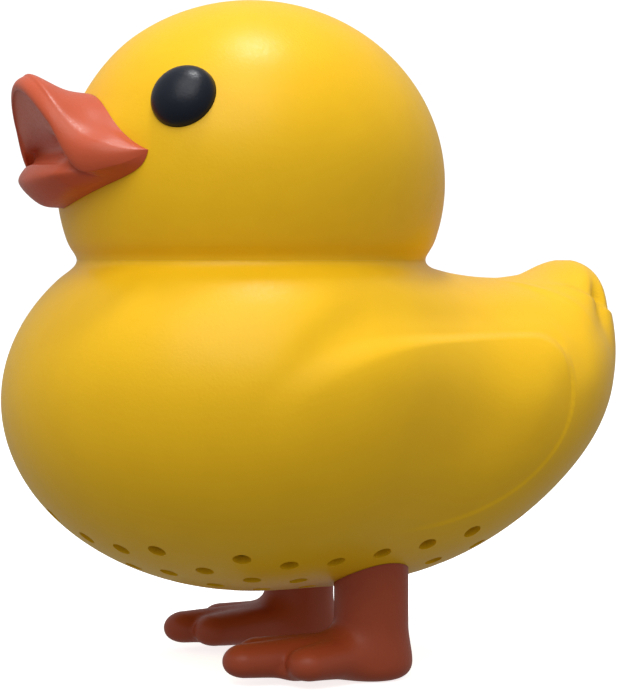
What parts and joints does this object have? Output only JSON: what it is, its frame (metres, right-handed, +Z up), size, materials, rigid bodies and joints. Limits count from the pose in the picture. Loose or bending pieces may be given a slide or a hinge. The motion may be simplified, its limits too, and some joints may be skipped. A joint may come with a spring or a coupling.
{
  "type": "floating chlorine dispenser",
  "caption": "Toy-duck pool float that holds chlorine tablets in a basket inside a vented body, under a screw-on head.",
  "frame": {"origin": "on the floor, under the middle of the bounding box", "axes": "+Z up, the duck faces -Y, its left side is +X"},
  "size_m": [0.1876, 0.2299, 0.2433],
  "materials": {
    "yellow_shell": "satin, finely grained",
    "orange_bill": "satin, finely grained",
    "brown_leg": "satin",
    "dark_eye": "satin",
    "white_plastic": "moulded",
    "blue_plastic": "moulded",
    "black_rubber": "matte",
    "grey_foam": "closed-cell foam",
    "steel": "brushed"
  },
  "bodies": {
    "body": {"body_shell": "yellow_shell", "left_leg": "brown_leg", "right_leg": "brown_leg", "neck_ring": "white_plastic", "tablet_basket": "white_plastic", "left_leg_nut": "white_plastic", "right_leg_nut": "white_plastic", "left_float": "grey_foam", "right_float": "grey_foam", "neck_screw_1": "steel", "neck_screw_2": "steel", "neck_screw_3": "steel", "neck_screw_4": "steel", "left_leg_washer": "steel", "right_leg_washer": "steel", "left_ballast": "steel", "right_ballast": "steel"},
    "sleeve": {"flow_sleeve": "blue_plastic"},
    "seal": {"neck_seal": "black_rubber"},
    "head": {"head_shell": "yellow_shell", "head_base": "white_plastic", "head_screw_1": "steel", "head_screw_2": "steel", "head_screw_3": "steel", "head_screw_4": "steel", "beak": "orange_bill", "left_beak_nut": "white_plastic", "right_beak_nut": "white_plastic", "left_eye": "dark_eye", "right_eye": "dark_eye", "left_eye_washer": "steel", "right_eye_washer": "steel"}
  },
  "joints": [
    {"name": "head_rise", "type": "slide", "parent": "body", "child": "seal", "axis": [0, 0, 1], "range_m": [0, 0.0113]},
    {"name": "head_turn", "type": "hinge", "parent": "seal", "child": "head", "pos_m": [0, -0.0238, 0.168], "axis": [0, 0, 1], "range_deg": [0, 150]},
    {"name": "flow_turn", "type": "hinge", "parent": "body", "child": "sleeve", "pos_m": [0, -0.0238, 0.09], "axis": [0, 0, 1], "range_deg": [0, 22.5]}
  ],
  "couplings": [
    {"joint": "head_rise", "follows": "head_turn", "m_per_rad": 0.0042972}
  ]
}
